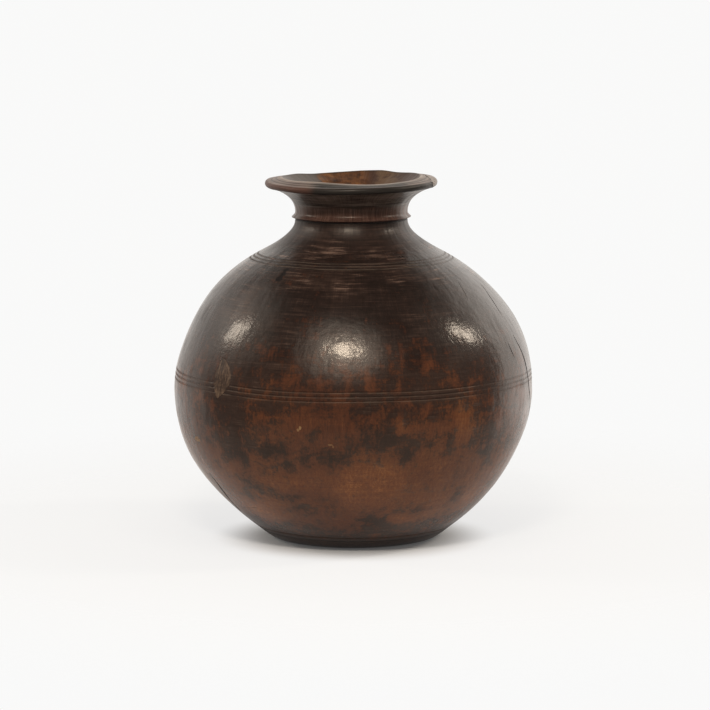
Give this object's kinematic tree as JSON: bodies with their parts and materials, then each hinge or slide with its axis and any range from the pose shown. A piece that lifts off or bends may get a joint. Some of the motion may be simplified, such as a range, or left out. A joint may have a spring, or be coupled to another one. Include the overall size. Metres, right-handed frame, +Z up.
{
  "type": "wooden jar",
  "caption": "Large hand-turned wooden jar with a round hollow belly, a waisted neck, a flared lip and an open mouth, closed below by a let-in base.",
  "frame": {"origin": "on the jar's axis, in the plane of the flat base that it stands on", "axes": "+Z up along the turning axis, through the mouth; -Y is the side that the picture shows, +X is its right"},
  "size_m": [0.358, 0.358, 0.3602],
  "materials": {
    "body_wood": "waxed, dark with age",
    "neck_wood": "waxed, worn at the lip",
    "base_wood": "dull, dark with handling",
    "joint_resin": "dark natural resin",
    "patch_wood": "waxed, paler than the body",
    "rim_patch_wood": "worn, greyish"
  },
  "bodies": {
    "root": {"turned_body": "body_wood", "neck_and_rim": "neck_wood", "base_plug": "base_wood", "neck_joint_resin": "joint_resin", "base_joint_resin": "joint_resin", "belly_patch": "patch_wood", "rim_patch": "rim_patch_wood"}
  },
  "joints": []
}
